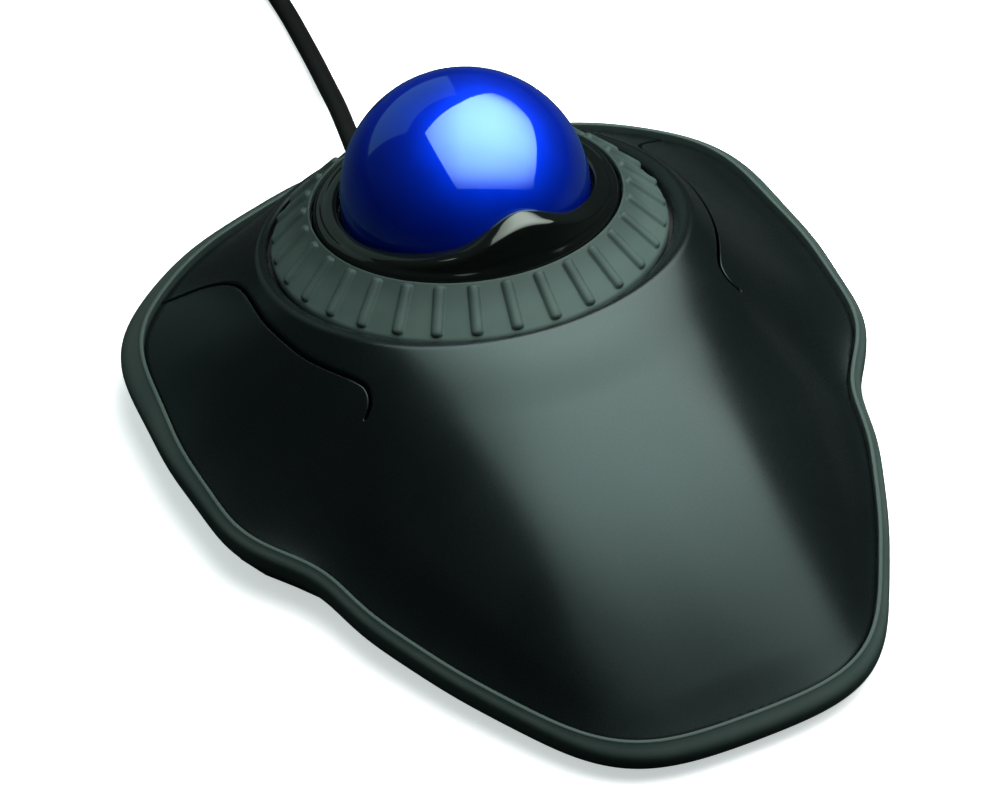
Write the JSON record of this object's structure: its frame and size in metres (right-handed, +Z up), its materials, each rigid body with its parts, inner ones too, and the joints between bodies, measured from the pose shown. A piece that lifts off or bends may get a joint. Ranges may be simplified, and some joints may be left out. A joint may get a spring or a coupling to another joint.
{
  "type": "trackball mouse",
  "caption": "Corded desktop trackball with a large centre ball, a ribbed scroll ring around it, two side buttons and a low sloping palm rest.",
  "frame": {"origin": "on the table, at the middle of the centre foot's underside, on the body's left-right mid-plane", "axes": "+Z up, +Y towards the side the cord leaves from, +X to the user's right"},
  "size_m": [0.116, 0.2552, 0.0527],
  "materials": {
    "cover_black": "semi-gloss black moulding with a fine texture",
    "soft_touch": "matte grey-green soft-touch skirt",
    "ring_rubber": "matte grey rubber with raised ribs",
    "gloss_black": "polished black",
    "ball_blue": "polished deep blue resin",
    "dark_plastic": "matte dark grey moulding",
    "white_plastic": "matte off-white",
    "board_green": "green solder mask",
    "chip_black": "matte black package",
    "plunger_red": "matte red",
    "ceramic": "polished ceramic bead",
    "clear_lens": "clear moulded optic",
    "pad_rubber": "matte black rubber",
    "cord_skin": "satin black PVC",
    "plug_steel": "nickel-plated steel",
    "screw_steel": "zinc-plated steel"
  },
  "bodies": {
    "housing": {"base_tray": "dark_plastic", "rim_bumper": "soft_touch", "top_cover": "cover_black", "ball_collar": "gloss_black", "ball_cup": "dark_plastic", "support_bearing_1": "ceramic", "support_bearing_2": "ceramic", "support_bearing_3": "ceramic", "main_pcb": "board_green", "optical_sensor": "chip_black", "sensor_lens": "clear_lens", "controller_ic": "chip_black", "cable_connector": "white_plastic", "left_switch_body": "chip_black", "right_switch_body": "chip_black", "ring_photo_interrupter": "chip_black", "strain_relief": "pad_rubber", "usb_cable": "cord_skin", "usb_plug_overmould": "cord_skin", "usb_plug_shell": "plug_steel", "usb_plug_insulator": "white_plastic", "centre_foot": "pad_rubber", "front_left_foot": "pad_rubber", "front_right_foot": "pad_rubber", "rear_left_foot": "pad_rubber", "rear_right_foot": "pad_rubber", "case_screw_front_left": "screw_steel", "case_screw_front_right": "screw_steel", "case_screw_rear_left": "screw_steel", "case_screw_rear_right": "screw_steel", "case_screw_cup_front_left": "screw_steel", "case_screw_cup_front_right": "screw_steel", "case_screw_cup_rear_left": "screw_steel", "case_screw_cup_rear_right": "screw_steel", "pcb_screw_left": "screw_steel", "pcb_screw_right": "screw_steel", "pcb_screw_rear": "screw_steel"},
    "scroll_ring": {"scroll_ring_grip": "ring_rubber", "scroll_ring_carrier": "dark_plastic"},
    "ball": {"trackball": "ball_blue"},
    "left_key": {"left_button": "cover_black"},
    "right_key": {"right_button": "cover_black"},
    "left_plunger": {"left_switch_plunger": "plunger_red"},
    "right_plunger": {"right_switch_plunger": "plunger_red"}
  },
  "joints": [
    {"name": "ring_spin", "type": "hinge", "parent": "housing", "child": "scroll_ring", "pos_m": [0, 0.0285, 0.03265], "axis": [0, 0.1908, 0.9816], "continuous": true},
    {"name": "ball_roll", "type": "hinge", "parent": "housing", "child": "ball", "pos_m": [0, 0.0285, 0.03265], "axis": [1, 0, 0], "continuous": true},
    {"name": "left_button_press", "type": "hinge", "parent": "housing", "child": "left_key", "pos_m": [-0.0406, -0.0056, 0.017], "axis": [-0.9579, -0.287, 0], "range_deg": [0, 1.3], "stiffness_Nm_per_rad": 0.4},
    {"name": "right_button_press", "type": "hinge", "parent": "housing", "child": "right_key", "pos_m": [0.0406, -0.0056, 0.017], "axis": [-0.9579, 0.287, 0], "range_deg": [0, 1.3], "stiffness_Nm_per_rad": 0.4},
    {"name": "left_switch_travel", "type": "slide", "parent": "housing", "child": "left_plunger", "axis": [0, 0, -1], "range_m": [0, 0.00065]},
    {"name": "right_switch_travel", "type": "slide", "parent": "housing", "child": "right_plunger", "axis": [0, 0, -1], "range_m": [0, 0.00065]}
  ],
  "couplings": [
    {"joint": "left_switch_travel", "follows": "left_button_press", "m_per_rad": 0.0268},
    {"joint": "right_switch_travel", "follows": "right_button_press", "m_per_rad": 0.0268}
  ]
}
